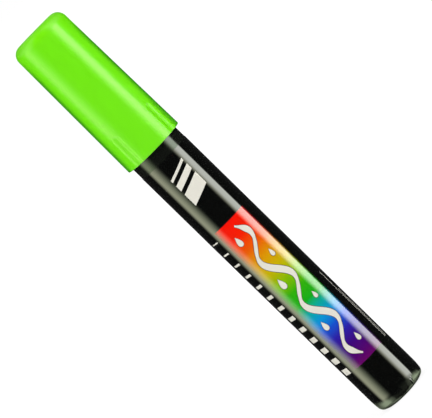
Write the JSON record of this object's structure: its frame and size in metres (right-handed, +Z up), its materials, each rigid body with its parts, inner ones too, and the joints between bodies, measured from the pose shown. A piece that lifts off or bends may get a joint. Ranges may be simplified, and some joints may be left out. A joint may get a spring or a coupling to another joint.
{
  "type": "acrylic paint marker",
  "caption": "Capped acrylic paint marker with a straight round barrel, a push valve, loose mixing balls and a slanted chisel nib.",
  "frame": {"origin": "centre of the barrel's flat tail face, on which the marker stands", "axes": "+Z up along the marker's axis towards the cap's closed end; +X towards the short side of the slanted nib"},
  "size_m": [0.0188, 0.0188, 0.14],
  "materials": {
    "barrel_plastic": "semi-gloss moulded black plastic",
    "label_print": "glossy printed shrink film, black with a rainbow panel",
    "front_plastic": "satin moulded black plastic",
    "holder_plastic": "satin moulded off-white plastic",
    "nib_felt": "pressed polyester felt",
    "valve_plastic": "natural moulded plastic",
    "seal_rubber": "matt moulded rubber",
    "spring_steel": "drawn stainless wire",
    "ball_steel": "polished steel",
    "cap_plastic": "semi-gloss moulded light green plastic",
    "seal_plastic": "soft natural moulded plastic"
  },
  "bodies": {
    "marker_body": {"barrel": "barrel_plastic", "label_film": "label_print", "front_section": "front_plastic", "front_seal_ring": "seal_rubber", "nib_holder": "holder_plastic", "valve_housing": "valve_plastic", "valve_gasket": "seal_rubber", "valve_cage": "valve_plastic", "valve_spring": "spring_steel"},
    "cap": {"cap_shell": "cap_plastic", "cap_seal": "seal_plastic"},
    "writing_nib": {"nib": "nib_felt"},
    "stem": {"valve_stem": "valve_plastic"},
    "ball_1": {"mixing_ball_1": "ball_steel"},
    "ball_2": {"mixing_ball_2": "ball_steel"}
  },
  "joints": [
    {"name": "cap_pull", "type": "slide", "parent": "marker_body", "child": "cap", "axis": [0, 0, 1], "range_m": [0, 0.05]},
    {"name": "nib_press", "type": "slide", "parent": "marker_body", "child": "writing_nib", "axis": [0, 0, -1], "range_m": [0, 0.0022], "stiffness_N_per_m": 800, "springref_m": -0.0015},
    {"name": "valve_slide", "type": "slide", "parent": "marker_body", "child": "stem", "axis": [0, 0, -1], "range_m": [0, 0.0022], "deforming": ["valve_spring"]},
    {"name": "ball_1_roll", "type": "slide", "parent": "marker_body", "child": "ball_1", "axis": [0, 0, 1], "range_m": [0, 0.071]},
    {"name": "ball_2_roll", "type": "slide", "parent": "marker_body", "child": "ball_2", "axis": [0, 0, 1], "range_m": [0, 0.071]}
  ],
  "couplings": [
    {"joint": "valve_slide", "follows": "nib_press", "ratio": 1}
  ]
}
